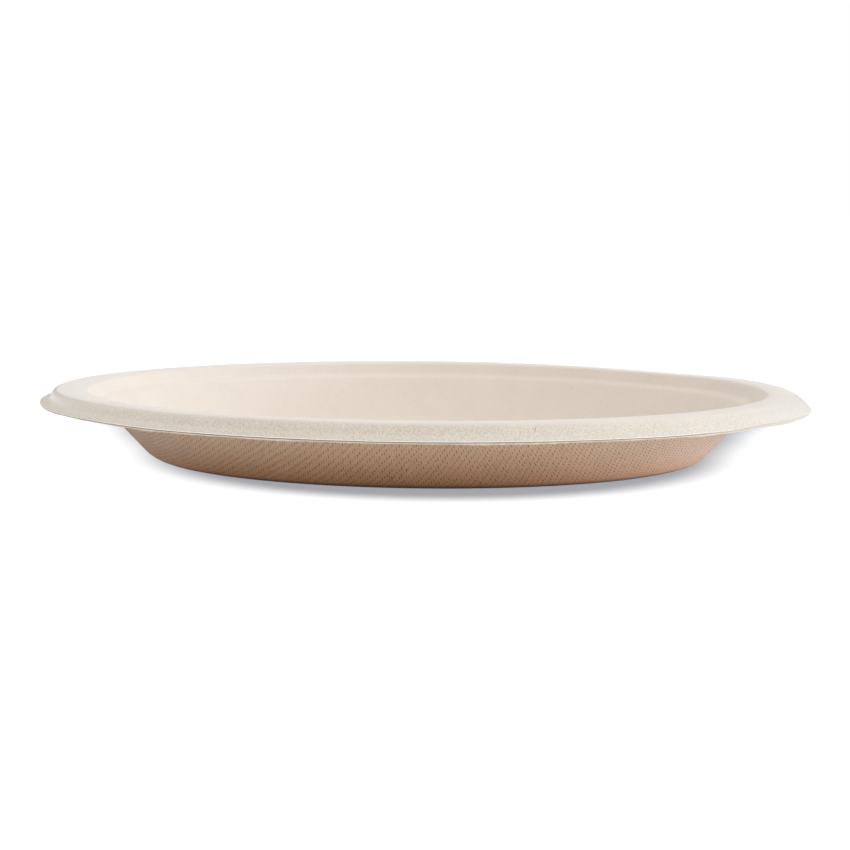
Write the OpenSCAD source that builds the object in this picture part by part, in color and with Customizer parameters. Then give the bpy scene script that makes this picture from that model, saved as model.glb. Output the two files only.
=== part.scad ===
// Round dinner plate pressed from plant pulp.
// One sheet of even thickness runs from the flat floor up the wall of the well, over a narrow
// stacking ledge and the crowned rim, and down the skirt to a lip that flares outwards.
// The origin is the centre of the underside, where the plate stands on the table.

/* [Plate] */
// Outside diameter of the rim
plate_d = 254; // [230:1:280]
// Height from the table to the top of the rim
plate_h = 22.9; // [22:0.1:30]
// Thickness of the pressed pulp
pulp_t = 1; // [0.7:0.1:1.3]

/* [Well] */
// Width of the sloped wall between the floor and the ledge, seen from above
wall_w = 15.6; // [13:0.1:20]
// Radius inside the bend between the floor and the wall
floor_bend = 9; // [4:0.5:12]

/* [Stacking ledge] */
// Width of the ledge between the wall of the well and the riser
ledge_w = 3.3; // [3:0.1:5]
// Fall of the ledge towards the well
ledge_fall = 1.2; // [0.6:0.1:1.6]
// Height of the riser from the ledge to the inner shoulder of the rim
riser_h = 3.9; // [3:0.1:4.6]
// Width of the riser, seen from above
riser_w = 3; // [2.4:0.1:3.6]

/* [Rim] */
// Width of the rim, from its outer edge to its inner shoulder
rim_w = 14.6; // [13:0.1:20]
// Rise of the crown's two slopes between its shoulders
crown_rise = 0.2; // [0.1:0.05:0.6]
// Width of the skirt, from the outer edge of the rim to its outer shoulder
skirt_w = 4.8; // [4.6:0.1:7]
// Height of the lip's lower edge above the table
lip_h = 17.6; // [16:0.1:18]
// Width of the flare that ends the skirt
flare_w = 2.4; // [1.8:0.1:2.6]
// Rise of the flare from the lip to the skirt
flare_rise = 1.3; // [0.4:0.1:1.6]

/* [Hidden] */

// Bend radii on the food side
ledge_bend = 3.5;
riser_foot_bend = 2.5;
shoulder_bend = 2.2;
flare_bend = 1.6;
lip_round = 0.3;
// Widest turn that one straight step of a bend takes, in degrees
bend_step = 15;
// Straight steps around the plate in the preview
round_steps = 88;

// Radii of the corners, worked out from the outer edge inwards
plate_r = plate_d / 2;
outer_shoulder_r = plate_r - skirt_w;
inner_shoulder_r = plate_r - rim_w;
crown_half = (outer_shoulder_r - inner_shoulder_r) / 2;
crown_r = inner_shoulder_r + crown_half;
riser_foot_r = inner_shoulder_r - riser_w;
wall_top_r = riser_foot_r - ledge_w;

// The crown's arc takes up the middle half of the rim, and its top is at the plate's full height
crown_slope = atan(crown_rise / crown_half);
crown_bend = crown_half / 2 / tan(crown_slope);
crown_corner_z = plate_h + crown_bend * (1 / cos(crown_slope) - 1);

// Heights of the other corners
shoulder_z = crown_corner_z - crown_rise;
riser_foot_z = shoulder_z - riser_h;
wall_top_z = riser_foot_z - ledge_fall;
lip_top_z = lip_h + pulp_t / cos(atan2(flare_rise, flare_w));

// Corners of the food side as [radius, height, bend radius], from the floor to the lip
corners = [
    [0, pulp_t, 0],
    [wall_top_r - wall_w, pulp_t, floor_bend],
    [wall_top_r, wall_top_z, ledge_bend],
    [riser_foot_r, riser_foot_z, riser_foot_bend],
    [inner_shoulder_r, shoulder_z, shoulder_bend],
    [crown_r, crown_corner_z, crown_bend],
    [outer_shoulder_r, shoulder_z, shoulder_bend],
    [plate_r - flare_w, lip_top_z + flare_rise, flare_bend],
    [plate_r, lip_top_z, lip_round],
    [plate_r, lip_h, 0]
];
lip = len(corners) - 2;

// Radius and height of a corner, without its bend radius
function place(corner) = [corner.x, corner.y];

// Direction of travel from one corner to the next, in degrees
function heading(start, end) = atan2(end.y - start.y, end.x - start.x);

// Unit vector along a heading, and the one square to it on the food side
function along(angle) = [cos(angle), sin(angle)];
function foodward(angle) = [-sin(angle), cos(angle)];

// Arc of the bend at corner i, on the surface that lies depth below the food side.
// Every depth turns about the same centre, so the two faces of the pulp stay parallel,
// and an even number of steps puts a point at the middle of the bend.
function bend(i, depth) =
    let (
        heading_in = heading(corners[i - 1], corners[i]),
        turn = heading(corners[i], corners[i + 1]) - heading_in,
        side = sign(turn),
        reach = corners[i][2] * tan(abs(turn) / 2),
        start = place(corners[i]) - reach * along(heading_in),
        centre = start + side * corners[i][2] * foodward(heading_in),
        radius = corners[i][2] + side * depth,
        steps = 2 * max(1, ceil(abs(turn) / bend_step / 2))
    )
    [for (k = [0:steps]) centre - side * radius * foodward(heading_in + turn * k / steps)];

// Face of the pulp that lies depth below the food side, from the axis to the skirt's flare
function face(depth) = concat(
    [place(corners[0]) - [0, depth]],
    [for (i = [1:lip - 1]) each bend(i, depth)]
);

function reversed(points) = [for (k = [len(points) - 1:-1:0]) points[k]];

// Closed section of the plate on one side of its axis
module section() {
    food_side = concat(face(0), bend(lip, 0));
    lip_edge = [place(corners[lip + 1])];
    underside = reversed(face(pulp_t));
    polygon(concat(food_side, lip_edge, underside));
}

module plate() {
    color("antiquewhite")
        rotate_extrude($fn = round_steps)
            section();
}

plate();
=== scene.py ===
"""Dresses a round dinner plate pressed from plant pulp, and sets it in a plain pale studio.

Lengths are in metres in the plate's own frame: +Z is up and the origin is the centre of its base.
Angles round the plate are counted from +X, the right of the picture, towards +Y, its far side.
"""

import math

import bpy
import numpy as np
from mathutils import Matrix, Vector


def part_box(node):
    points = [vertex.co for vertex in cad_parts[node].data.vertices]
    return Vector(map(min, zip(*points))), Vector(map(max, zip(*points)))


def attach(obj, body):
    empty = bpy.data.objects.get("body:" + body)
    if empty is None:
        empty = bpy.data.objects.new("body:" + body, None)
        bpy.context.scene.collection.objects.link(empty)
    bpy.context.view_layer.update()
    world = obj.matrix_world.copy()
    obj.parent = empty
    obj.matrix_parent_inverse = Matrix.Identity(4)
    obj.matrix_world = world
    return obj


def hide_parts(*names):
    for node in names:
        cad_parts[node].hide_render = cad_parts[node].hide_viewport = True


bl_info = {
    "name": "Pressed Pulp Plate",
    "version": (1, 0, 0),
    "blender": (4, 5, 0),
    "location": "3D View > Sidebar > Pulp Plate",
    "description": "Presses a round pulp plate over its solid model and sets it in a pale studio",
    "category": "Object",
}

MM = 0.001
FULL_TURN = 2 * math.pi
# Number of places round the rim at which its sizes are given
STATIONS = 15

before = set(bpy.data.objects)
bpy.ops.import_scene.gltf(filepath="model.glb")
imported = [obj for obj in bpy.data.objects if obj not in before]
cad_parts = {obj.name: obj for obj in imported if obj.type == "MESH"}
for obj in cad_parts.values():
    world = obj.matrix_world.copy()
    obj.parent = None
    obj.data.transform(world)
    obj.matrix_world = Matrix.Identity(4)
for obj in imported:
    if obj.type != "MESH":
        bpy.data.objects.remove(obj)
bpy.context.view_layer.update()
PLATE_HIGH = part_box("plate")[1]


def length_setting(name, description, default):
    """Setting of one length."""
    return bpy.props.FloatProperty(
        name=name, description=description, default=default, unit="LENGTH", precision=6)


def rim_setting(name, description, *sizes):
    """Setting of a length at each station round the rim, given in millimetres."""
    return bpy.props.FloatVectorProperty(
        name=name, description=description, default=tuple(MM * size for size in sizes),
        size=STATIONS, unit="LENGTH", precision=6)


def colour_setting(name, description, *colour, highest=1.0):
    """Setting of one colour."""
    return bpy.props.FloatVectorProperty(
        name=name, description=description, default=colour, subtype="COLOR", size=3,
        min=0, max=highest)


def share_setting(name, description, default):
    """Setting of a share from 0 to 1."""
    return bpy.props.FloatProperty(name=name, description=description, default=default, min=0, max=1)


def level_setting(name, description, default):
    """Setting of one plain number."""
    return bpy.props.FloatProperty(name=name, description=description, default=default)


class PlateShape(bpy.types.PropertyGroup):
    """Sizes of the section that is turned about the plate's axis."""

    radius: length_setting("Radius", "Radius of the outer edge of the rim", PLATE_HIGH.x)
    height: length_setting("Height", "Height of the top of the rim above the table", PLATE_HIGH.z)
    thickness: length_setting("Thickness", "Thickness of the pressed pulp", 1.0 * MM)
    wall_width: length_setting(
        "Wall Width", "Width of the sloped wall of the well, seen from above", 15.6 * MM)
    floor_bend: length_setting(
        "Floor Bend", "Radius inside the bend between the floor and the wall", 9.0 * MM)
    ledge_width: length_setting("Ledge Width", "Width of the stacking ledge", 3.3 * MM)
    ledge_fall: length_setting("Ledge Fall", "Fall of the ledge towards the well", 1.2 * MM)
    ledge_bend: length_setting(
        "Ledge Bend", "Radius of the bend between the wall and the ledge", 3.5 * MM)
    riser_height: length_setting(
        "Riser Height", "Height of the riser from the ledge to the rim", 3.9 * MM)
    riser_width: length_setting("Riser Width", "Width of the riser, seen from above", 3.0 * MM)
    riser_bend: length_setting("Riser Bend", "Radius of the bend at the foot of the riser", 2.5 * MM)
    rim_width: length_setting(
        "Rim Width", "Width of the rim, from its edge to its inner shoulder", 14.6 * MM)
    shoulder_bend: length_setting(
        "Shoulder Bend", "Radius of the bend at the inner shoulder of the rim", 2.2 * MM)
    crown_rise: length_setting(
        "Crown Rise", "Rise of the crown's slopes between the shoulders", 0.2 * MM)
    flare_bend: length_setting(
        "Flare Bend", "Radius of the bend between the skirt and its flare", 1.6 * MM)
    stations: bpy.props.FloatVectorProperty(
        name="Stations", description="Angles round the plate at which the rim's sizes are given",
        default=tuple(math.radians(angle) for angle in (
            0, 24, 42, 82, 130, 180, 206, 216, 234, 262, 302, 314, 323, 328, 342)),
        size=STATIONS, unit="ROTATION")
    skirt_width: rim_setting(
        "Skirt Width", "Width of the skirt, from the plate's radius to its shoulder",
        5.0, 5.0, 5.0, 4.8, 3.9, 2.9, 4.0, 4.4, 4.8, 5.1, 5.35, 5.4, 5.4, 5.4, 5.25)
    outer_bend: rim_setting(
        "Outer Bend", "Radius of the bend at the outer shoulder of the rim",
        4.0, 3.4, 3.0, 2.2, 2.2, 2.2, 2.4, 2.5, 2.2, 2.4, 3.0, 3.2, 3.8, 4.0, 4.0)
    flare_width: rim_setting(
        "Flare Width", "Width of the flare at the foot of the skirt",
        2.4, 2.3, 2.2, 2.5, 3.3, 3.5, 3.4, 3.3, 2.8, 2.5, 2.3, 2.2, 2.3, 2.4, 2.4)
    flare_rise: rim_setting(
        "Flare Rise", "Rise of the flare from the lip to the skirt",
        2.3, 2.1, 1.9, 1.5, 1.0, 0.9, 1.05, 1.15, 1.45, 1.6, 1.8, 1.75, 2.0, 2.1, 2.25)
    lip_reach: rim_setting(
        "Lip Reach", "How far the lip reaches past the plate's radius",
        0.0, 0.0, 0.0, 0.0, 0.3, 0.8, 0.5, 0.35, 0.05, 0.0, 0.0, 0.0, 0.0, 0.0, 0.0)
    lip_height: rim_setting(
        "Lip Height", "Height of the lip's lower edge above the table",
        17.95, 17.7, 17.7, 17.7, 17.9, 18.5, 18.2, 18.02, 17.6, 17.5, 17.53, 17.42, 18.05, 17.72,
        17.75)
    edge_height: rim_setting(
        "Edge Height", "Height of the trimmed edge of the lip",
        0.65, 0.95, 1.05, 1.1, 0.9, 0.45, 0.3, 0.5, 0.72, 0.7, 0.62, 0.88, 0.8, 1.1, 0.85)
    rim_lift: rim_setting(
        "Rim Lift", "Height that the rim's slight warp adds",
        0.05, 0.17, -0.5, 0.1, 0.0, 0.0, 0.0, 0.0, 0.0, 0.0, 0.22, 0.27, 0.27, 0.27, 0.15)
    # Share at each station of the nip's depth, the torn foot, the arris's painted highlight and the
    # nip's painted shade
    edge_wear: bpy.props.FloatVectorProperty(
        name="Edge Detail And Light", description="Share of the nip, torn foot and painted highlight and shade that shows on the trimmed edge",
        default=(0.1, 0.3, 1.0, 1.0, 1.0, 1.0, 1.0, 1.0, 1.0, 1.0, 1.0, 0.3, 0.1, 0.0, 0.0),
        size=STATIONS)
    waviness: length_setting("Waviness", "Size of the slow waves round the rim", 0.05 * MM)
    ragged_reach: length_setting(
        "Ragged Reach", "How far the torn fibres hang below the lip", 0.28 * MM)
    segments: bpy.props.IntProperty(
        name="Segments", description="Steps round the plate, away from its lip",
        default=360, min=96, max=720)
    lip_split: bpy.props.IntProperty(
        name="Lip Split", description="Steps round the lip for each step of the rest",
        default=8, min=1, max=8)


class PulpFinish(bpy.types.PropertyGroup):
    """Colours and depths of the surface of the pulp."""

    food_colour: colour_setting(
        "Food Side", "Colour of the smooth side that was pressed last", 0.70, 0.618, 0.535)
    skirt_colour: colour_setting("Skirt", "Colour of the outer slope of the rim", 0.655, 0.587, 0.494)
    # Painted highlight along the upper arris of the lip
    arris_highlight_colour: colour_setting("Arris", "Painted highlight on the upper arris of the lip", 1.0, 0.96, 0.90)
    # Painted shade in the recess of the nip below the arris
    nip_shade_colour: colour_setting("Nip", "Painted shade in the nip below the arris", 0.36, 0.22, 0.13)
    edge_colour: colour_setting(
        "Trimmed Edge", "Colour of the torn foot of the lip", 0.90, 0.75, 0.585)
    screen_colour: colour_setting(
        "Screen Side", "Colour of the side that lay on the forming screen", 0.83, 0.605, 0.402)
    # Painted shade that the screen side darkens to near the table
    low_shade_colour: colour_setting(
        "Base", "Painted shade that the screen side darkens to near the table", 0.85, 0.497, 0.272)
    # Painted shade in the pits of the forming screen
    pit_shade_colour: colour_setting(
        "Pits", "Painted shade in the pits that the forming screen left", 0.34, 0.12, 0.045)
    # Painted contact shadow along the foot where the plate meets the table
    contact_shade_colour: colour_setting(
        "Contact Shadow", "Painted contact shadow where the plate meets the table", 0.22, 0.08, 0.03)
    fleck_colour: colour_setting("Flecks", "Colour of the dark fibres in the pulp", 0.34, 0.22, 0.13)
    grain_size: length_setting("Grain Size", "Size of the fibre clumps on the skirt", 0.45 * MM)
    grain_depth: length_setting("Grain Depth", "Depth of the fibre grain on the skirt", 0.05 * MM)
    pressed_depth: length_setting(
        "Pressed Depth", "Depth of the grain left on the pressed side", 0.006 * MM)
    screen_pitch: length_setting(
        "Screen Pitch", "Distance between the columns of the screen's marks", 0.714 * MM)
    screen_depth: length_setting(
        "Screen Depth", "Depth of the marks that the forming screen left", 0.06 * MM)
    skirt_fuzz: share_setting(
        "Skirt Fuzz", "Pale sheen of the fine fibres that stand up from the skirt", 0.85)
    crown_fuzz: share_setting("Crown Fuzz", "Pale sheen on the crown of the rim", 0.45)
    screen_fuzz: share_setting("Screen Fuzz", "Pale sheen of the screen side below the rim", 0.95)
    base_fuzz: share_setting("Base Fuzz", "Pale sheen of the screen side near the table", 0.2)
    pressed_fuzz: share_setting(
        "Pressed Fuzz", "Pale sheen that is left on the smooth pressed side", 0.25)


class Studio(bpy.types.PropertyGroup):
    """Camera, lamps and floor."""

    distance: length_setting(
        "Distance", "Distance from the camera to the point that it looks at", 741.3 * MM)
    elevation: bpy.props.FloatProperty(
        name="Elevation", description="Angle at which the camera looks down",
        default=math.radians(5.77), unit="ROTATION")
    roll: bpy.props.FloatProperty(
        name="Roll", description="Turn of the camera about its line of sight",
        default=math.radians(0.532), unit="ROTATION")
    target: bpy.props.FloatVectorProperty(
        name="Target", description="Point that the camera looks at",
        default=(-0.45 * MM, 0.0, 10.13 * MM), size=3, unit="LENGTH")
    focal_length: level_setting("Focal Length", "Focal length in millimetres", 93.57)
    sky_level: level_setting("Sky", "Level of the even light from all round", 0.235)
    side_lamp: level_setting("Side Lamp", "Strength of the low soft lamp at the right", 2.18)
    front_lamp: level_setting("Front Lamp", "Strength of the soft lamp over the camera", 0.76)
    top_lamp: level_setting("Top Lamp", "Strength of the soft lamp overhead", 1.60)
    fill_lamp: level_setting("Fill Lamp", "Strength of the low soft lamp at the left", 0.20)
    side_colour: colour_setting(
        "Side Colour", "Slightly cool colour of the side lamp", 0.92, 1.0, 1.13, highest=2.0)
    top_colour: colour_setting(
        "Top Colour", "Slightly warm colour of the top lamp", 1.02, 1.0, 0.97, highest=2.0)
    # Colour of the shadow that is painted on the floor round the foot
    shadow_colour: colour_setting(
        "Shadow", "Colour that the floor shows in the shadow round the foot", 0.355, 0.36, 0.388)


# Steps of each bend from the floor to the flare, and points on the straight run before it
BEND_STEPS = (6, 5, 5, 6, 6, 6, 5)
RUN_POINTS = (1, 5, 0, 0, 1, 1, 2)
FLARE_POINTS = 2
# Rounding of the lip's upper arris, and drop and width of its nip, as shares of the edge's height
ARRIS_BEND = 0.32
NIP_DROP = 0.04
NIP_WIDTH = 0.25
ARRIS_STEPS = 4
# Depth of the nip where the edge's detail shows in full, how far the cut face below it stands back, and
# the burr
NIP_INSET = 0.30 * MM
CUT_INSET = 0.03 * MM
CUT_POINTS = 2
BURR_INSET = 0.25 * MM
BURR_RISE = 0.06 * MM
# Sizes of the rim that change from place to place round it
RIM_SIZES = (
    "skirt_width", "outer_bend", "flare_width", "flare_rise", "lip_reach", "lip_height", "edge_height",
    "rim_lift", "edge_wear")
# Least and greatest size of a random wave
WAVE_SIZES = (0.6, 1.0)
# Periods round the plate and seeds of the slow waves of its rim, of the patches where its edge is torn
# and of the torn fibres in them
SLOW_WAVES = (2, 3, 4, 7, 9)
SLOW_SEED = 5
PATCH_WAVES = (9, 14, 23, 31)
PATCH_SEED = 17
TORN_WAVES = range(160, 460, 23)
TORN_SEED = 29
# Waves between which a patch goes from whole to torn, and least shares of the fibres' full length
PATCH_LIMITS = (-0.4, 1.4)
PATCH_LEAST = 0.15
TORN_LEAST = 0.4


def heading(start, end):
    """Direction of travel from one corner of the section to the next, in radians."""
    return math.atan2(end[1] - start[1], end[0] - start[0])


def along(angle):
    """Unit vector along a heading."""
    return np.array([math.cos(angle), math.sin(angle)])


def foodward(angle):
    """Unit vector square to a heading, on the food side."""
    return np.array([-math.sin(angle), math.cos(angle)])


def bend(corners, index, depth, steps):
    """Arc at one corner, on the surface that lies depth below the food side."""
    before, (radius_at, height_at, bend_radius), after = corners[index - 1:index + 2]
    corner = np.array([radius_at, height_at])
    heading_in = heading(before, corner)
    turn = heading(corner, after) - heading_in
    side = math.copysign(1.0, turn)
    start = corner - bend_radius * math.tan(abs(turn) / 2) * along(heading_in)
    centre = start + side * bend_radius * foodward(heading_in)
    radius = bend_radius + side * depth
    turns = [heading_in + turn * step / steps for step in range(steps + 1)]
    return [centre - side * radius * foodward(angle) for angle in turns]


def between(start, end, points):
    """Points spread evenly between two others, without the two."""
    return [start + (end - start) * step / (points + 1) for step in range(1, points + 1)]


def section_corners(shape, rim):
    """Corners of the food side as (radius, height, bend radius), from the floor to the lip."""
    outer_shoulder = shape.radius - rim["skirt_width"]
    inner_shoulder = shape.radius - shape.rim_width
    crown_half = (outer_shoulder - inner_shoulder) / 2
    crown_slope = math.atan(shape.crown_rise / crown_half)
    crown_bend = crown_half / 2 / math.tan(crown_slope)
    crown_z = shape.height + crown_bend * (1 / math.cos(crown_slope) - 1)
    shoulder_z = crown_z - shape.crown_rise
    riser_foot = inner_shoulder - shape.riser_width
    riser_foot_z = shoulder_z - shape.riser_height
    wall_top = riser_foot - shape.ledge_width
    wall_top_z = riser_foot_z - shape.ledge_fall
    lip_r = shape.radius + rim["lip_reach"]
    lip_low = rim["lip_height"]
    lip_top = lip_low + rim["edge_height"]
    return [
        (0.0, shape.thickness, 0.0),
        (wall_top - shape.wall_width, shape.thickness, shape.floor_bend),
        (wall_top, wall_top_z, shape.ledge_bend),
        (riser_foot, riser_foot_z, shape.riser_bend),
        (inner_shoulder, shoulder_z, shape.shoulder_bend),
        (inner_shoulder + crown_half, crown_z, crown_bend),
        (outer_shoulder, shoulder_z, rim["outer_bend"]),
        (lip_r - rim["flare_width"], lip_top + rim["flare_rise"], shape.flare_bend),
        (lip_r, lip_top, ARRIS_BEND * rim["edge_height"]),
        (lip_r, lip_low, 0.0),
    ]


def face(corners, depth):
    """One face of the pulp, from the axis to the start of the flare."""
    points = [np.array([0.0, corners[0][1] - depth])]
    for index, (steps, run) in enumerate(zip(BEND_STEPS, RUN_POINTS), start=1):
        arc = bend(corners, index, depth, steps)
        points += between(points[-1], arc[0], run) + arc
    return points


def lip_edge(corners, arris_end, wear):
    """Nip, cut face and burr of the lip, from below its arris down and in to its underside."""
    edge_r, edge_low = corners[-1][0], corners[-1][1]
    edge_height = corners[-2][1] - edge_low
    nip_z = arris_end[1] - NIP_DROP * edge_height
    nip_width = NIP_WIDTH * edge_height
    cut_r = edge_r - CUT_INSET
    cut_end = np.array([cut_r, edge_low])
    points = [
        np.array([edge_r, nip_z]),
        np.array([edge_r - NIP_INSET * wear, nip_z - nip_width / 2]),
        np.array([cut_r, nip_z - nip_width]),
    ]
    points += between(points[-1], cut_end, CUT_POINTS)
    return points + [cut_end, np.array([cut_r - BURR_INSET, edge_low + BURR_RISE])]


class Section:
    """Closed section of the plate as rows of radius and height, with the last row of each part."""

    def __init__(self, shape, rim):
        corners = section_corners(shape, rim)
        food = face(corners, 0.0)
        arris = bend(corners, len(corners) - 2, 0.0, ARRIS_STEPS)
        flare_top = between(food[-1], arris[0], FLARE_POINTS)
        edge = lip_edge(corners, arris[-1], rim["edge_wear"])
        under = face(corners, shape.thickness)[::-1]
        flare_below = between(edge[-1], under[0], FLARE_POINTS)
        self.rows = np.array(food + flare_top + arris + edge + flare_below + under)
        self.skirt_end = len(food) - 1
        self.flare_end = self.skirt_end + len(flare_top)
        self.burr = self.flare_end + len(arris) + len(edge)
        self.lip_end = self.burr + len(flare_below)

    def edge_depth(self, row):
        """Depth of a row below the start of the arris, as a share of the edge's height."""
        if not self.flare_end < row <= self.burr:
            return 0.0
        top, low = self.rows[self.flare_end + 1][1], self.rows[self.burr - 1][1]
        return float(np.clip((top - self.rows[row][1]) / (top - low), 0.0, 1.0))


def ease(low, high, value):
    """0 up to low, 1 from high on, and a smooth rise between them."""
    share = np.clip((value - low) / (high - low), 0.0, 1.0)
    return share * share * (3 - 2 * share)


def waves(angle, seed, orders):
    """Sum of random waves with whole numbers of periods round the plate, of size about 1."""
    rng = np.random.default_rng(seed)
    total = np.zeros_like(angle)
    for order in orders:
        total += rng.uniform(*WAVE_SIZES) * np.sin(order * angle + rng.uniform(0, FULL_TURN))
    return total / math.sqrt(len(orders) / 2)


def ragged_fall(shape, angle):
    """How far the torn fibres hang below the lip at each angle."""
    patch = ease(*PATCH_LIMITS, waves(angle, PATCH_SEED, PATCH_WAVES))
    fibres = np.abs(waves(angle, TORN_SEED, TORN_WAVES))
    hang = (PATCH_LEAST + (1 - PATCH_LEAST) * patch) * (TORN_LEAST + (1 - TORN_LEAST) * fibres)
    return shape.ragged_reach * hang


def rim_sizes(shape, angle):
    """Sizes of the rim at one angle, eased from each station to the next."""
    stations = [*shape.stations, FULL_TURN]
    after = next(index for index, station in enumerate(stations) if station > angle)
    share = float(ease(stations[after - 1], stations[after], angle))
    sizes = {}
    for name in RIM_SIZES:
        given = [*getattr(shape, name), getattr(shape, name)[0]]
        sizes[name] = given[after - 1] * (1 - share) + given[after] * share
    return sizes


def ring_places(shape, profile, lifts, steps, ragged):
    """Vertices of one row of the section all round the plate, from its places at even steps."""
    angle = np.arange(steps) * FULL_TURN / steps
    given = np.arange(len(profile)) * FULL_TURN / len(profile)
    radius = np.interp(angle, given, profile[:, 0], period=FULL_TURN)
    height = np.interp(angle, given, profile[:, 1], period=FULL_TURN)
    wall_top = shape.radius - shape.rim_width - shape.riser_width - shape.ledge_width
    lift = np.interp(angle, given, lifts, period=FULL_TURN)
    lift = lift + shape.waviness * waves(angle, SLOW_SEED, SLOW_WAVES)
    height = height + lift * ease(wall_top - shape.wall_width, shape.radius, radius)
    if ragged:
        height = height - ragged_fall(shape, angle)
    return np.column_stack([radius * np.cos(angle), radius * np.sin(angle), height])


def band_faces(first, first_steps, second, second_steps):
    """Faces between two rings of vertices. Either ring may have some times the other's steps."""
    if first_steps == second_steps:
        return [(first + step, second + step,
                 second + (step + 1) % second_steps, first + (step + 1) % first_steps)
                for step in range(first_steps)]
    fine_first = first_steps > second_steps
    fine, fine_steps = (first, first_steps) if fine_first else (second, second_steps)
    coarse, coarse_steps = (second, second_steps) if fine_first else (first, first_steps)
    split = fine_steps // coarse_steps
    half = (split + 1) // 2
    faces = []
    for step in range(coarse_steps):
        here = coarse + step
        after = coarse + (step + 1) % coarse_steps
        for part in range(split):
            low = fine + step * split + part
            high = fine + (step * split + part + 1) % fine_steps
            near = here if part < half else after
            faces.append((low, near, high) if fine_first else (near, low, high))
            if part + 1 == half:
                faces.append((here, after, high) if fine_first else (here, high, after))
    return faces


# How far the forming screen was pulled askew on the right, the lengths over which it was, how much
# of that moved its marks across and back, and the radius at the middle of the wall
SCREEN_SHEAR = 0.44
SHEAR_LENGTH = 28 * MM
SHEAR_REACH = 25 * MM
SHEAR_ACROSS = 0.2
SHEAR_BACK = 0.3
WALL_MIDDLE = 97 * MM
# Rows of marks that are crossed in one pitch to the right, and in one pitch back
ROWS_ACROSS = 0.35
ROWS_BACK = 0.289
# Distance to the left at which the rows start to turn, and how quickly they do
LEFT_START = 45 * MM
LEFT_TWIST = 4.5
SCREEN_MAP = "screen_marks"
EDGE_DEPTH = "edge_depth"
EDGE_DETAIL_AND_LIGHT = "edge_wear"
SHARP_ANGLE = math.radians(50)
FOOD_SIDE, TRIMMED_EDGE, SCREEN_SIDE = range(3)


def screen_phase(finish, x, y):
    """Place of a point on the forming screen, counted in repeats along its two sets of marks.

    The screen lay straight on the left of the mould, and was pulled askew on the right.
    """
    right = np.maximum(x, 0)
    askew = SCREEN_SHEAR * (1 - np.exp(-right / SHEAR_LENGTH))
    drift = SCREEN_SHEAR * right - SHEAR_LENGTH * askew
    from_wall = y + WALL_MIDDLE - x * x / (2 * WALL_MIDDLE)
    pull = SHEAR_REACH * np.tanh(from_wall / SHEAR_REACH)
    across = (x - SHEAR_ACROSS * drift - askew * pull) / finish.screen_pitch
    back = (y - SHEAR_BACK * drift) / finish.screen_pitch
    twist = LEFT_TWIST * np.maximum(-x - LEFT_START, 0) ** 2 / finish.screen_pitch
    return np.column_stack([across, ROWS_ACROSS * across + ROWS_BACK * back - twist])


def plate_rings(shape, rims, sections):
    """Vertices of the plate with two values of each, and the first vertex and steps of each ring."""
    profiles = np.array([section.rows for section in sections])
    lifts = np.array([rim["rim_lift"] for rim in rims])
    wear = np.array([rim["edge_wear"] for rim in rims])
    section = sections[0]
    last = len(section.rows) - 1
    places = [np.array([[0.0, 0.0, section.rows[0][1]]])]
    depths = [np.zeros(1)]
    edge_detail_shares = [np.zeros(1)]
    rings = []
    count = 1
    for row in range(1, last):
        in_lip = section.skirt_end < row <= section.lip_end
        steps = shape.segments * (shape.lip_split if in_lip else 1)
        ragged = section.burr - 1 <= row <= section.burr
        places.append(ring_places(shape, profiles[:, row], lifts, steps, ragged))
        depths.append(np.full(steps, section.edge_depth(row)))
        edge_detail_shares.append(np.repeat(wear, steps // shape.segments))
        rings.append((count, steps))
        count += steps
    places.append(np.array([[0.0, 0.0, section.rows[last][1]]]))
    depths.append(np.zeros(1))
    edge_detail_shares.append(np.zeros(1))
    values = {EDGE_DEPTH: np.concatenate(depths), EDGE_DETAIL_AND_LIGHT: np.concatenate(edge_detail_shares)}
    return np.concatenate(places), values, rings


def kind_of_band(section, row):
    """Material number of the band of faces that starts at a row of the section."""
    if row <= section.flare_end:
        return FOOD_SIDE
    return TRIMMED_EDGE if row < section.burr else SCREEN_SIDE


def plate_faces(section, rings, last):
    """Faces of the plate with the material number of each, given the number of its last vertex."""
    first, steps = rings[0]
    faces = [(0, first + step, first + (step + 1) % steps) for step in range(steps)]
    kinds = [FOOD_SIDE] * steps
    for row, (inner, outer) in enumerate(zip(rings[:-1], rings[1:]), start=1):
        band = band_faces(*inner, *outer)
        faces += band
        kinds += [kind_of_band(section, row)] * len(band)
    first, steps = rings[-1]
    faces += [(first + step, last, first + (step + 1) % steps) for step in range(steps)]
    kinds += [SCREEN_SIDE] * steps
    return faces, kinds


def plate_mesh(shape, finish):
    """Mesh of the whole plate, with a material number on each face and a map of the screen."""
    angles = np.arange(shape.segments) * FULL_TURN / shape.segments
    rims = [rim_sizes(shape, angle) for angle in angles]
    sections = [Section(shape, rim) for rim in rims]
    points, values, rings = plate_rings(shape, rims, sections)
    faces, kinds = plate_faces(sections[0], rings, len(points) - 1)

    mesh = bpy.data.meshes.new("pulp_plate")
    mesh.from_pydata(points.tolist(), [], faces)
    mesh.polygons.foreach_set("material_index", kinds)
    corner_points = np.zeros(len(mesh.loops), dtype=np.int32)
    mesh.loops.foreach_get("vertex_index", corner_points)
    phase = screen_phase(finish, points[:, 0], points[:, 1])[corner_points]
    mesh.uv_layers.new(name=SCREEN_MAP).data.foreach_set("uv", phase.astype(np.float32).ravel())
    for name, value in values.items():
        attribute = mesh.attributes.new(name, "FLOAT", "POINT")
        attribute.data.foreach_set("value", value.astype(np.float32))
    mesh.shade_smooth()
    mesh.set_sharp_from_angle(angle=SHARP_ANGLE)
    mesh.validate()
    return mesh


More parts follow.
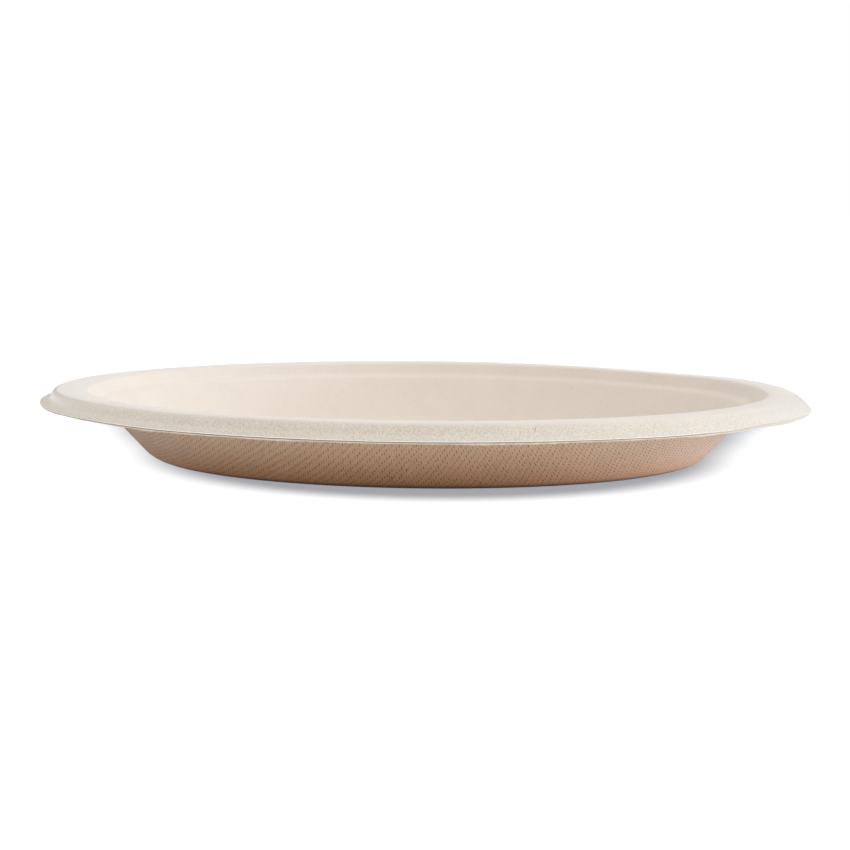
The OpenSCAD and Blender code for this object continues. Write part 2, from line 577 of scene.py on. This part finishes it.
def add(tree, kind, inputs=None, **settings):
    """Adds a shader node. An input given as a socket is linked, and any other is set."""
    made = tree.nodes.new("ShaderNode" + kind)
    for name, value in settings.items():
        setattr(made, name, value)
    for key, value in (inputs or {}).items():
        if isinstance(value, bpy.types.NodeSocket):
            tree.links.new(value, made.inputs[key])
        else:
            made.inputs[key].default_value = value
    return made


def calculate(tree, operation, *values):
    """Output of a Math node."""
    return add(tree, "Math", dict(enumerate(values)), operation=operation).outputs[0]


def combined(tree, operation, *vectors):
    """Vector that a Vector Math node gives."""
    return add(tree, "VectorMath", dict(enumerate(vectors)), operation=operation).outputs[0]


def measured(tree, operation, *vectors):
    """Number that a Vector Math node gives."""
    return add(tree, "VectorMath", dict(enumerate(vectors)), operation=operation).outputs["Value"]


def times(tree, vector, factor):
    """Vector or colour times a number."""
    return add(tree, "VectorMath", {0: vector, "Scale": factor}, operation="SCALE").outputs[0]


def ramp(tree, value, low, high, start=0.0, end=1.0):
    """Smooth change from start to end as a value goes from low to high."""
    limits = {"Value": value, "From Min": low, "From Max": high, "To Min": start, "To Max": end}
    return add(tree, "MapRange", limits, interpolation_type="SMOOTHSTEP").outputs["Result"]


def mix_colour(tree, share, first, second):
    """Colour that goes from the first to the second with the share."""
    return add(tree, "Mix", {0: share, 6: first, 7: second}, data_type="RGBA").outputs[2]


def opaque(colour):
    """Colour of a property with an alpha of 1."""
    return (*colour, 1.0)


def object_place(tree):
    """Coordinates of the surface in the plate's own frame."""
    return add(tree, "TexCoord").outputs["Object"]


def noise(tree, size, detail=2.0, roughness=0.5, distortion=0.0):
    """Noise whose features have about the given size in metres."""
    scale = calculate(tree, "DIVIDE", 1.0, size)
    inputs = {
        "Vector": object_place(tree), "Scale": scale, "Detail": detail,
        "Roughness": roughness, "Distortion": distortion,
    }
    return add(tree, "TexNoise", inputs).outputs["Fac"]


def ripple(tree, scale, detail):
    """Colour of a noise, whose three parts move a pattern about."""
    inputs = {"Vector": object_place(tree), "Scale": scale, "Detail": detail}
    return add(tree, "TexNoise", inputs).outputs["Color"]


def new_group(name, inputs, outputs):
    """Empty shader node group with named sockets, and its two ends."""
    tree = bpy.data.node_groups.new(name, "ShaderNodeTree")
    for label, default in inputs:
        socket = tree.interface.new_socket(name=label, in_out="INPUT", socket_type="NodeSocketFloat")
        socket.default_value = default
    for label in outputs:
        tree.interface.new_socket(name=label, in_out="OUTPUT", socket_type="NodeSocketFloat")
    return tree, tree.nodes.new("NodeGroupInput"), tree.nodes.new("NodeGroupOutput")


# Sizes of the noises that the raised fibres follow and are broken by, as times the grain's size
FIBRE_WANDER = 4.0
FIBRE_LENGTH = 2.5
# Half width of a fibre as a value of its noise, values over which it is broken off, and its height
FIBRE_WIDTH = 0.02
BREAK_LIMITS = (0.5, 0.6)
FIBRE_RELIEF = 0.25
CLOUD_SIZE = 14 * MM


def fibre_grain_group():
    """Felted surface of the pulp: fine clumps, single fibres and slow cloudy changes."""
    tree, given, result = new_group("Fibre Grain", [("Grain Size", 0.8 * MM)], ["Height", "Cloud"])
    size = given.outputs["Grain Size"]
    clumps = noise(tree, size, detail=3.0, roughness=0.6)
    wander = noise(tree, calculate(tree, "MULTIPLY", size, FIBRE_WANDER), detail=3.0, distortion=1.2)
    off_line = calculate(tree, "ABSOLUTE", calculate(tree, "SUBTRACT", wander, 0.5))
    lines = ramp(tree, off_line, 0.0, FIBRE_WIDTH, 1.0, 0.0)
    broken = ramp(tree, noise(tree, calculate(tree, "MULTIPLY", size, FIBRE_LENGTH)), *BREAK_LIMITS)
    fibres = calculate(tree, "MULTIPLY", lines, broken)
    height = calculate(tree, "MULTIPLY_ADD", fibres, FIBRE_RELIEF, clumps)
    tree.links.new(height, result.inputs["Height"])
    tree.links.new(noise(tree, CLOUD_SIZE, detail=4.0, roughness=0.6), result.inputs["Cloud"])


# Scale of the ripple that bends the flecks, how far it does, and the share of a fleck that is full dark
FLECK_RIPPLE = 900.0
FLECK_BEND = 0.4 * MM
FLECK_CORE = 0.5


def fleck_group():
    """Scattered dark fibres, as a mask."""
    tree, given, result = new_group("Dark Flecks", [("Spacing", 9 * MM), ("Size", 0.09)], ["Mask"])
    scale = calculate(tree, "DIVIDE", 1.0, given.outputs["Spacing"])
    shift = times(tree, ripple(tree, FLECK_RIPPLE, 1.0), FLECK_BEND)
    bent = combined(tree, "ADD", object_place(tree), shift)
    cells = add(tree, "TexVoronoi", {"Vector": bent, "Scale": scale, "Randomness": 1.0})
    size = given.outputs["Size"]
    inner = calculate(tree, "MULTIPLY", size, FLECK_CORE)
    tree.links.new(ramp(tree, cells.outputs["Distance"], inner, size, 1.0, 0.0), result.inputs["Mask"])


def stray_fibre_group():
    """One dark fibre that lies on the front of the plate, as a mask."""
    sizes = [("Left", 0.0), ("Low", 0.0), ("Run", MM), ("Rise", MM), ("Width", 0.2 * MM)]
    tree, given, result = new_group("Stray Fibre", sizes, ["Mask"])
    parts = add(tree, "SeparateXYZ", {0: object_place(tree)})
    from_left = calculate(tree, "SUBTRACT", parts.outputs["X"], given.outputs["Left"])
    from_low = calculate(tree, "SUBTRACT", parts.outputs["Z"], given.outputs["Low"])
    place = add(tree, "CombineXYZ", {"X": from_left, "Y": from_low}).outputs[0]
    run = add(tree, "CombineXYZ", {"X": given.outputs["Run"], "Y": given.outputs["Rise"]}).outputs[0]
    down = measured(tree, "DOT_PRODUCT", place, run)
    square = measured(tree, "DOT_PRODUCT", run, run)
    share = add(tree, "Clamp", {"Value": calculate(tree, "DIVIDE", down, square)}).outputs[0]
    off = measured(tree, "DISTANCE", place, times(tree, run, share))
    line = ramp(tree, off, 0.0, given.outputs["Width"], 1.0, 0.0)
    front = calculate(tree, "LESS_THAN", parts.outputs["Y"], 0.0)
    tree.links.new(calculate(tree, "MULTIPLY", line, front), result.inputs["Mask"])


# Scale of the ripple in the screen's marks, and strengths of the waves of its three sets of wires
SCREEN_RIPPLE = 700.0
WIRE_WAVES = (1.0, 0.8, 0.5)
# Sums of the waves at the edge and in the middle of a pit
PIT_LIMITS = (0.8, 2.1)
# Size of the worn patches, values of their noise from worn to whole, and depth that wear leaves
WEAR_SIZE = 1.6 * MM
WEAR_LIMITS = (0.3, 0.6)
WEAR_LEAST = 0.35


def screen_group():
    """Slanting rows of short pits left by the wires of a twilled forming screen."""
    tree, given, result = new_group("Forming Screen", [("Unevenness", 0.1)], ["Height", "Pits"])
    phase = add(tree, "UVMap", uv_map=SCREEN_MAP).outputs["UV"]
    centred = combined(tree, "SUBTRACT", ripple(tree, SCREEN_RIPPLE, 2.0), (0.5,) * 3)
    moved = combined(tree, "ADD", phase, times(tree, centred, given.outputs["Unevenness"]))
    parts = add(tree, "SeparateXYZ", {0: moved})
    across, slant = parts.outputs["X"], parts.outputs["Y"]
    total = 0.0
    for place, strength in zip((across, calculate(tree, "SUBTRACT", across, slant), slant), WIRE_WAVES):
        wave = calculate(tree, "COSINE", calculate(tree, "MULTIPLY", place, FULL_TURN))
        total = calculate(tree, "MULTIPLY_ADD", wave, strength, total)
    wear = ramp(tree, noise(tree, WEAR_SIZE), *WEAR_LIMITS, WEAR_LEAST, 1.0)
    pits = calculate(tree, "MULTIPLY", ramp(tree, total, *PIT_LIMITS), wear)
    tree.links.new(pits, result.inputs["Pits"])
    tree.links.new(calculate(tree, "SUBTRACT", 1.0, pits), result.inputs["Height"])


def place_group(tree, name, **values):
    """Puts a node group into a material, with its own values."""
    made = add(tree, "Group", node_tree=bpy.data.node_groups[name])
    for key, value in values.items():
        made.inputs[key.replace("_", " ").title()].default_value = value
    return made


SHEEN_ROUGHNESS = 0.5
# Values of a noise at which a toned colour is darkest and lightest
TONE_LIMITS = (0.25, 0.75)
# Share of their own colour that the dark flecks take
FLECK_SHADE = 0.6


def empty_tree(block):
    """Node tree of a new material or world, with nothing in it."""
    block.use_nodes = True
    block.node_tree.nodes.clear()
    return block.node_tree


def toned(tree, colour, value, spread):
    """Colour made darker and lighter by a share of itself, as a noise goes between its limits."""
    level = ramp(tree, value, *TONE_LIMITS, 1 - spread, 1 + spread)
    return times(tree, colour, level)


def with_dark_fibres(tree, colour, dark, flecks, fibres):
    """Colour with scattered flecks in it and single dark fibres over it.

    The flecks have a spacing and a size, and each fibre its left, low, run and rise in millimetres.
    """
    mask = place_group(tree, "Dark Flecks", **flecks).outputs["Mask"]
    colour = mix_colour(tree, calculate(tree, "MULTIPLY", mask, FLECK_SHADE), colour, opaque(dark))
    for left, low, run, rise in fibres:
        place = {"left": left * MM, "low": low * MM, "run": run * MM, "rise": rise * MM}
        fibre = place_group(tree, "Stray Fibre", **place)
        colour = mix_colour(tree, fibre.outputs["Mask"], colour, opaque(dark))
    return colour


def distance_from_axis(tree):
    """Distance of the surface from the plate's axis."""
    return measured(tree, "LENGTH", combined(tree, "MULTIPLY", object_place(tree), (1.0, 1.0, 0.0)))


def set_surface(tree, colour, roughness, sheen, height):
    """Shader of the pulp, with a sheen of fine fibres and a grain of a height in metres."""
    grain = add(tree, "Bump", {"Strength": 1.0, "Distance": 1.0, "Height": height})
    shader = add(tree, "BsdfPrincipled", {
        "Base Color": colour,
        "Roughness": roughness,
        "Sheen Weight": sheen,
        "Sheen Roughness": SHEEN_ROUGHNESS,
        "Normal": grain.outputs["Normal"],
    })
    add(tree, "OutputMaterial", {"Surface": shader.outputs["BSDF"]})


# How far in from the plate's radius the skirt's grainy finish starts, and over what lengths round there
SKIRT_REACH = 5.0 * MM
SKIRT_START = (-1.0 * MM, 1.5 * MM)
# Half the length over which the sheen of the crown starts
CROWN_EASE = 1.5 * MM
# Tones of the clouds and of the grain, as shares of the colour
FOOD_CLOUD = 0.02
FOOD_TONE = 0.045
SKIRT_TONE = 0.21
FOOD_FLECKS = {"spacing": 16 * MM, "size": 0.02}
# Dark fibres on the front of the skirt
SKIRT_FIBRES = ((30.3, 20.7, 0.5, 1.0),)
# Roughness of the pressed side and of the skirt
FOOD_ROUGHNESS = (0.62, 0.85)


def food_side_pulp(shape, finish):
    """Smooth pressed side, with a grainy skirt past the outer shoulder."""
    material = bpy.data.materials.new("food_side_pulp")
    tree = empty_tree(material)
    grain = place_group(tree, "Fibre Grain", grain_size=finish.grain_size)
    shoulder = shape.radius - SKIRT_REACH
    reach = distance_from_axis(tree)
    skirt = ramp(tree, reach, *(shoulder + start for start in SKIRT_START))
    colour = mix_colour(tree, skirt, opaque(finish.food_colour), opaque(finish.skirt_colour))
    colour = toned(tree, colour, grain.outputs["Cloud"], FOOD_CLOUD)
    fine = toned(tree, colour, grain.outputs["Height"], FOOD_TONE)
    coarse = toned(tree, colour, grain.outputs["Height"], SKIRT_TONE)
    colour = mix_colour(tree, skirt, fine, coarse)
    colour = with_dark_fibres(tree, colour, finish.fleck_colour, FOOD_FLECKS, SKIRT_FIBRES)
    depth = calculate(tree, "MULTIPLY_ADD", skirt, finish.grain_depth, finish.pressed_depth)
    height = calculate(tree, "MULTIPLY", grain.outputs["Height"], depth)
    crown = shape.radius - shape.rim_width
    in_rim = (crown - CROWN_EASE, crown + CROWN_EASE)
    sheen = ramp(tree, reach, *in_rim, finish.pressed_fuzz, finish.crown_fuzz)
    sheen = ramp(tree, skirt, 0.0, 1.0, sheen, finish.skirt_fuzz)
    set_surface(tree, colour, ramp(tree, skirt, 0.0, 1.0, *FOOD_ROUGHNESS), sheen, height)
    return material


# Size of the fibre clumps on the trimmed edge and on the screen side
COARSE_GRAIN = 0.5 * MM
# Depths at which the arris's painted highlight gives way to the nip's painted shade, and at which the
# torn foot starts, as shares of the edge's height
NIP_START = (0.30, 0.38)
FOOT_START = (0.56, 0.66)
# Size of the patches where the foot takes the skirt's colour, values of their noise, and share of it
PATCH_SIZE = 3.5 * MM
PATCH_START = (0.42, 0.58)
PATCH_SHADE = 0.6
# Tone of the grain, as a share of the colour
EDGE_TONE = 0.08
# Values of the grain between which the edge goes from smooth to rough, and its roughness at each
EDGE_GRAIN = (0.3, 0.7)
EDGE_ROUGHNESS = (0.8, 0.95)


def trimmed_edge_pulp(finish):
    """Trimmed edge of the lip: a painted highlight on its arris, painted shade in its nip and a foot of
    torn fibres.
    """
    material = bpy.data.materials.new("trimmed_edge_pulp")
    tree = empty_tree(material)
    grain = place_group(tree, "Fibre Grain", grain_size=COARSE_GRAIN).outputs["Height"]
    depth = add(tree, "Attribute", attribute_name=EDGE_DEPTH).outputs["Fac"]
    wear = add(tree, "Attribute", attribute_name=EDGE_DETAIL_AND_LIGHT).outputs["Fac"]
    patches = ramp(tree, noise(tree, PATCH_SIZE), *PATCH_START, 0.0, PATCH_SHADE)
    foot = mix_colour(tree, patches, opaque(finish.edge_colour), opaque(finish.skirt_colour))
    # Painted highlight on the arris above, painted shade in the nip below it
    in_nip = ramp(tree, depth, *NIP_START)
    colour = mix_colour(tree, in_nip, opaque(finish.arris_highlight_colour), opaque(finish.nip_shade_colour))
    colour = mix_colour(tree, ramp(tree, depth, *FOOT_START), colour, foot)
    # Where that share is low, the painted highlight, the painted shade and the torn foot give way to
    # the skirt's colour
    colour = mix_colour(tree, wear, opaque(finish.skirt_colour), colour)
    colour = toned(tree, colour, grain, EDGE_TONE)
    roughness = ramp(tree, grain, *EDGE_GRAIN, *EDGE_ROUGHNESS)
    height = calculate(tree, "MULTIPLY", grain, finish.grain_depth)
    set_surface(tree, colour, roughness, finish.crown_fuzz, height)
    return material


# Height at which the screen side has its palest colour; below it the colour darkens towards the table
# as painted shade
LIP_LEVEL = 17.7 * MM
# Tones of the clouds and of the grain, as shares of the colour
SCREEN_CLOUD = 0.04
SCREEN_TONE = 0.20
SCREEN_FLECKS = {"spacing": 11 * MM, "size": 0.05}
# Dark fibres on the front of the wall's outside
WALL_FIBRES = ((-11.4, 4.6, 1.2, -0.5), (-10.2, 4.1, 1.1, 0.1), (-10.2, 4.1, 0.3, -0.9))
# Unevenness of the pits, share of their painted shade colour at their deepest, and depth of the grain
# round them
PIT_UNEVENNESS = 0.45
PIT_SHADE = 0.83
SCREEN_GRAIN = 0.02 * MM
# Share of its own colour that the painted contact shadow at the foot takes, and heights over which that
# painted shadow fades
FOOT_SHADE = 0.95
FOOT_LINE = (0.4 * MM, 1.8 * MM)
# Distances from the axis over which the flat bottom, which has no painted shade, gives way to the foot
# with its painted shade and painted contact shadow
BOTTOM_REACH = (85 * MM, 87.5 * MM)
# Heights between which the sheen of the screen side grows, and share of it that is left in the pits
FUZZ_HEIGHTS = (0.5 * MM, 9.0 * MM)
PIT_FUZZ = 0.2
# Roughness of the screen side and of its pits
SCREEN_ROUGHNESS = (0.78, 0.95)


def screen_side_pulp(finish):
    """Side that lay on the forming screen, with painted shade that darkens it towards the table,
    painted shade in its pits and a painted contact shadow at its foot.
    """
    material = bpy.data.materials.new("screen_side_pulp")
    tree = empty_tree(material)
    grain = place_group(tree, "Fibre Grain", grain_size=COARSE_GRAIN)
    screen = place_group(tree, "Forming Screen", unevenness=PIT_UNEVENNESS)
    pits = screen.outputs["Pits"]
    level = add(tree, "SeparateXYZ", {0: object_place(tree)}).outputs["Z"]
    bottom = ramp(tree, distance_from_axis(tree), *BOTTOM_REACH, 1.0, 0.0)
    # Painted shade: darker towards the table, except on the flat bottom
    pale = calculate(tree, "MAXIMUM", ramp(tree, level, 0.0, LIP_LEVEL), bottom)
    colour = mix_colour(tree, pale, opaque(finish.low_shade_colour), opaque(finish.screen_colour))
    colour = toned(tree, colour, grain.outputs["Cloud"], SCREEN_CLOUD)
    # Painted shade in the pits
    painted_pit_shade = calculate(tree, "MULTIPLY", pits, PIT_SHADE)
    colour = mix_colour(tree, painted_pit_shade, colour, opaque(finish.pit_shade_colour))
    colour = toned(tree, colour, grain.outputs["Height"], SCREEN_TONE)
    colour = with_dark_fibres(tree, colour, finish.fleck_colour, SCREEN_FLECKS, WALL_FIBRES)
    # Painted contact shadow along the foot, left off the flat bottom
    low = ramp(tree, level, *FOOT_LINE, FOOT_SHADE, 0.0)
    contact_shade = calculate(tree, "MULTIPLY", low, calculate(tree, "SUBTRACT", 1.0, bottom))
    colour = mix_colour(tree, contact_shade, colour, opaque(finish.contact_shade_colour))
    relief = calculate(tree, "MULTIPLY", screen.outputs["Height"], finish.screen_depth)
    height = calculate(tree, "MULTIPLY_ADD", grain.outputs["Height"], SCREEN_GRAIN, relief)
    sheen = ramp(tree, level, *FUZZ_HEIGHTS, finish.base_fuzz, finish.screen_fuzz)
    sheen = calculate(tree, "MULTIPLY", sheen, ramp(tree, pits, 0.0, 1.0, 1.0, PIT_FUZZ))
    set_surface(tree, colour, ramp(tree, pits, 0.0, 1.0, *SCREEN_ROUGHNESS), sheen, height)
    return material


def seen_directly(tree):
    """1 for light that goes straight, or by gloss or glass, to the camera, and otherwise 0."""
    path = add(tree, "LightPath").outputs
    seen = calculate(tree, "MAXIMUM", path["Is Camera Ray"], path["Is Glossy Ray"])
    return calculate(tree, "MAXIMUM", seen, path["Is Transmission Ray"])


WHITE = (1.0, 1.0, 1.0, 1.0)
# Start of the floor's painted shadow zone, its half width, its reach in front, how it widens behind its
# start and over what length it starts to, where it ends behind and over what length, and where it fades
# to white across its edge
SHADOW_START = (2.6 * MM, 0.7 * MM, 0.0)
SHADOW_WIDTH = 92 * MM
SHADOW_FRONT = 113.2 * MM
SHADOW_SPLAY = 0.295
SHADOW_EASE = 30 * MM
SHADOW_BACK = 135 * MM
SHADOW_BACK_FADE = 121 * MM
SHADOW_FADE = (0.905, 1.10)
# Colours of the floor by the light that it throws on the plate, and by what the camera sees
FLOOR_COLOUR = (0.88, 0.89, 0.90, 1.0)
SEEN_COLOUR = (0.09, 0.10, 0.11, 1.0)


def shadow_distance(tree):
    """Distance from the middle of the floor's painted shadow zone, as a share of the way to its edge.
    """
    from_start = combined(tree, "SUBTRACT", object_place(tree), SHADOW_START)
    parts = add(tree, "SeparateXYZ", {0: from_start})
    back = parts.outputs["Y"]
    square = calculate(tree, "MULTIPLY_ADD", back, back, SHADOW_EASE ** 2)
    rounded = calculate(tree, "ADD", back, calculate(tree, "SQRT", square))
    behind = calculate(tree, "MULTIPLY", rounded, 0.5)
    ahead = calculate(tree, "SUBTRACT", back, behind)
    width = calculate(tree, "MULTIPLY_ADD", behind, SHADOW_SPLAY, SHADOW_WIDTH)
    beyond = calculate(tree, "MAXIMUM", calculate(tree, "SUBTRACT", back, SHADOW_BACK), 0.0)
    shares = add(tree, "CombineXYZ", {
        "X": calculate(tree, "DIVIDE", parts.outputs["X"], width),
        "Y": calculate(tree, "DIVIDE", ahead, SHADOW_FRONT),
        "Z": calculate(tree, "DIVIDE", beyond, SHADOW_BACK_FADE),
    })
    return measured(tree, "LENGTH", shares.outputs[0])


def floor_material(studio):
    """Matt floor that is white to the camera, with a shadow painted round the plate's foot over the
    faint real shadow that it keeps.
    """
    material = bpy.data.materials.new("studio_floor")
    tree = empty_tree(material)
    seen = seen_directly(tree)
    # Painted shadow: what the camera sees of the floor goes from the shadow colour in the zone to white
    # outside it
    share = ramp(tree, shadow_distance(tree), *SHADOW_FADE)
    painted_shadow = mix_colour(tree, share, opaque(studio.shadow_colour), WHITE)
    matt = add(tree, "BsdfDiffuse", {"Color": mix_colour(tree, seen, FLOOR_COLOUR, SEEN_COLOUR)})
    glow = add(tree, "Emission", {"Color": painted_shadow, "Strength": seen})
    both = add(tree, "AddShader", {0: matt.outputs[0], 1: glow.outputs[0]})
    add(tree, "OutputMaterial", {"Surface": both.outputs[0]})
    return material


def studio_world(studio):
    """White to the camera, and an even light for the plate."""
    world = bpy.data.worlds.new("studio_world")
    tree = empty_tree(world)
    strength = ramp(tree, seen_directly(tree), 0.0, 1.0, studio.sky_level, 1.0)
    shown = add(tree, "Background", {"Color": WHITE, "Strength": strength})
    add(tree, "OutputWorld", {"Surface": shown.outputs[0]})
    return world


SENSOR_WIDTH = 36.0
FLOOR_REACH = 20.0
# Width of every lamp, and bearings and heights from which they shine
LAMP_SPREAD = math.radians(30)
SIDE_BEARING = math.radians(10)
LEFT_BEARING = math.pi
FRONT_BEARING = -math.pi / 2
LOW_LAMP = math.radians(10)
HALF_HIGH = math.pi / 4
OVERHEAD = math.pi / 2


def link_object(name, data):
    """Adds an object with this data to the scene."""
    made = bpy.data.objects.new(name, data)
    bpy.context.scene.collection.objects.link(made)
    return made


def lay_floor(studio):
    """Flat floor, far wider than the view."""
    reach = FLOOR_REACH
    corners = [(-reach, -reach, 0.0), (reach, -reach, 0.0), (reach, reach, 0.0), (-reach, reach, 0.0)]
    mesh = bpy.data.meshes.new("studio_floor")
    mesh.from_pydata(corners, [], [(0, 1, 2, 3)])
    mesh.materials.append(floor_material(studio))
    link_object("studio_floor", mesh)


def hang_lamp(name, strength, bearing, elevation, colour=(1.0, 1.0, 1.0)):
    """Very wide and distant lamp that shines from one direction, given by two angles."""
    lamp = bpy.data.lights.new(name, "SUN")
    lamp.energy = strength
    lamp.color = colour
    lamp.angle = LAMP_SPREAD
    made = link_object(name, lamp)
    level = math.cos(elevation)
    aim = (level * math.cos(bearing), level * math.sin(bearing), math.sin(elevation))
    made.rotation_euler = Vector(aim).to_track_quat("Z", "Y").to_euler()


def place_camera(scene, studio):
    """Camera at the angle of the photograph."""
    camera = bpy.data.cameras.new("camera")
    camera.lens = studio.focal_length
    camera.sensor_width = SENSOR_WIDTH
    made = link_object("camera", camera)
    down = studio.elevation
    back = Vector((0.0, -math.cos(down), math.sin(down)))
    turned = (-back).to_track_quat("-Z", "Y").to_matrix() @ Matrix.Rotation(studio.roll, 3, "Z")
    place = Vector(studio.target) + back * studio.distance
    made.matrix_world = Matrix.Translation(place) @ turned.to_4x4()
    scene.camera = made


class PULP_OT_press_plate(bpy.types.Operator):
    """Press the plate over its solid model and give it its finishes"""

    bl_idname = "pulp_plate.press_plate"
    bl_label = "Press Plate"
    bl_options = {"REGISTER", "UNDO"}

    def execute(self, context):
        shape = context.scene.pulp_shape
        finish = context.scene.pulp_finish
        for make_group in (fibre_grain_group, fleck_group, stray_fibre_group, screen_group):
            make_group()
        mesh = plate_mesh(shape, finish)
        mesh.materials.append(food_side_pulp(shape, finish))
        mesh.materials.append(trimmed_edge_pulp(finish))
        mesh.materials.append(screen_side_pulp(finish))
        plate = link_object("pulp_plate", mesh)
        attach(plate, "root")
        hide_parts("plate")
        return {"FINISHED"}


class PULP_OT_set_stage(bpy.types.Operator):
    """Lay the pale floor, hang the soft lamps and place the camera"""

    bl_idname = "pulp_plate.set_stage"
    bl_label = "Set Stage"
    bl_options = {"REGISTER", "UNDO"}

    def execute(self, context):
        scene = context.scene
        studio = scene.pulp_studio
        lay_floor(studio)
        hang_lamp("side_lamp", studio.side_lamp, SIDE_BEARING, LOW_LAMP, studio.side_colour)
        hang_lamp("fill_lamp", studio.fill_lamp, LEFT_BEARING, LOW_LAMP)
        hang_lamp("front_lamp", studio.front_lamp, FRONT_BEARING, HALF_HIGH)
        hang_lamp("top_lamp", studio.top_lamp, 0.0, OVERHEAD, studio.top_colour)
        scene.world = studio_world(studio)
        scene.view_settings.view_transform = "Standard"
        place_camera(scene, studio)
        return {"FINISHED"}


class PULP_PT_maker(bpy.types.Panel):
    """Steps and settings of the plate"""

    bl_idname = "PULP_PT_maker"
    bl_label = "Pressed Pulp Plate"
    bl_space_type = "VIEW_3D"
    bl_region_type = "UI"
    bl_category = "Pulp Plate"

    def draw(self, context):
        for operator in OPERATORS:
            self.layout.operator(operator.bl_idname)
        for name, kind in SETTINGS:
            box = self.layout.box()
            for label in kind.__annotations__:
                box.prop(getattr(context.scene, name), label)


SETTINGS = (("pulp_shape", PlateShape), ("pulp_finish", PulpFinish), ("pulp_studio", Studio))
OPERATORS = (PULP_OT_press_plate, PULP_OT_set_stage)


def register():
    """Adds the settings, the steps and the panel."""
    for name, kind in SETTINGS:
        bpy.utils.register_class(kind)
        setattr(bpy.types.Scene, name, bpy.props.PointerProperty(type=kind))
    for kind in (*OPERATORS, PULP_PT_maker):
        bpy.utils.register_class(kind)


def unregister():
    """Takes the panel, the steps and the settings out again."""
    for kind in (PULP_PT_maker, *reversed(OPERATORS)):
        bpy.utils.unregister_class(kind)
    for name, kind in reversed(SETTINGS):
        delattr(bpy.types.Scene, name)
        bpy.utils.unregister_class(kind)


def main():
    """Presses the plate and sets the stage."""
    register()
    bpy.ops.pulp_plate.press_plate()
    bpy.ops.pulp_plate.set_stage()


if __name__ == "__main__":
    main()
